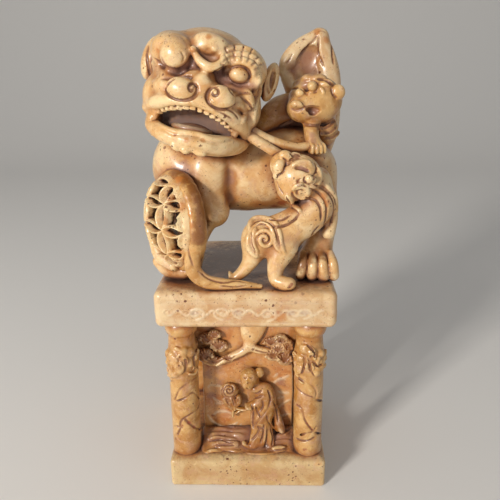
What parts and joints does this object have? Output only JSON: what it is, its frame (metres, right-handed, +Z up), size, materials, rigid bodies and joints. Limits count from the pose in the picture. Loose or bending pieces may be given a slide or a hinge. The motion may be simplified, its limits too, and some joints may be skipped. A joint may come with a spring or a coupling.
{
  "type": "seal stamp",
  "caption": "Carved soapstone seal: a square seal base, a storey with dragon columns and a relief scene, a slab, and a lion with cubs and an openwork ball on top.",
  "frame": {"origin": "centre of the seal face, which is the square underside of the base", "axes": "+Z up, from the seal face to the carved lion; -Y is the front, with the relief scene and the lion's face; +X is to the right of someone who looks at the front"},
  "size_m": [0.057, 0.0518, 0.1336],
  "materials": {
    "soapstone": "polished",
    "slab_stone": "polished",
    "panel_stone": "polished",
    "mouth_stone": "satin"
  },
  "bodies": {
    "root": {"seal_base": "soapstone", "top_slab": "slab_stone", "column_front_left": "soapstone", "column_front_right": "soapstone", "column_back_left": "soapstone", "column_back_right": "soapstone", "elder_figure": "soapstone", "flower_spray": "soapstone", "pine_tree": "soapstone", "rock_waves": "soapstone", "storey_core": "panel_stone", "lion_head": "soapstone", "lion_tongue": "mouth_stone", "lion_jaw": "soapstone", "lion_ear_left": "soapstone", "lion_ear_right": "soapstone", "ball_ribbon": "soapstone", "brocade_ball": "soapstone", "front_cub_tail": "soapstone", "front_cub_head": "soapstone", "front_cub_body": "soapstone", "rear_cub_head": "soapstone", "rear_cub_foreleg": "soapstone", "mouth_ribbon": "soapstone", "rear_cub_body": "soapstone", "lion_tail": "soapstone", "foreleg_left": "soapstone", "foreleg_right": "soapstone", "hind_leg_left": "soapstone", "hind_leg_right": "soapstone", "lion_torso": "soapstone", "lion_mane": "soapstone"}
  },
  "joints": []
}
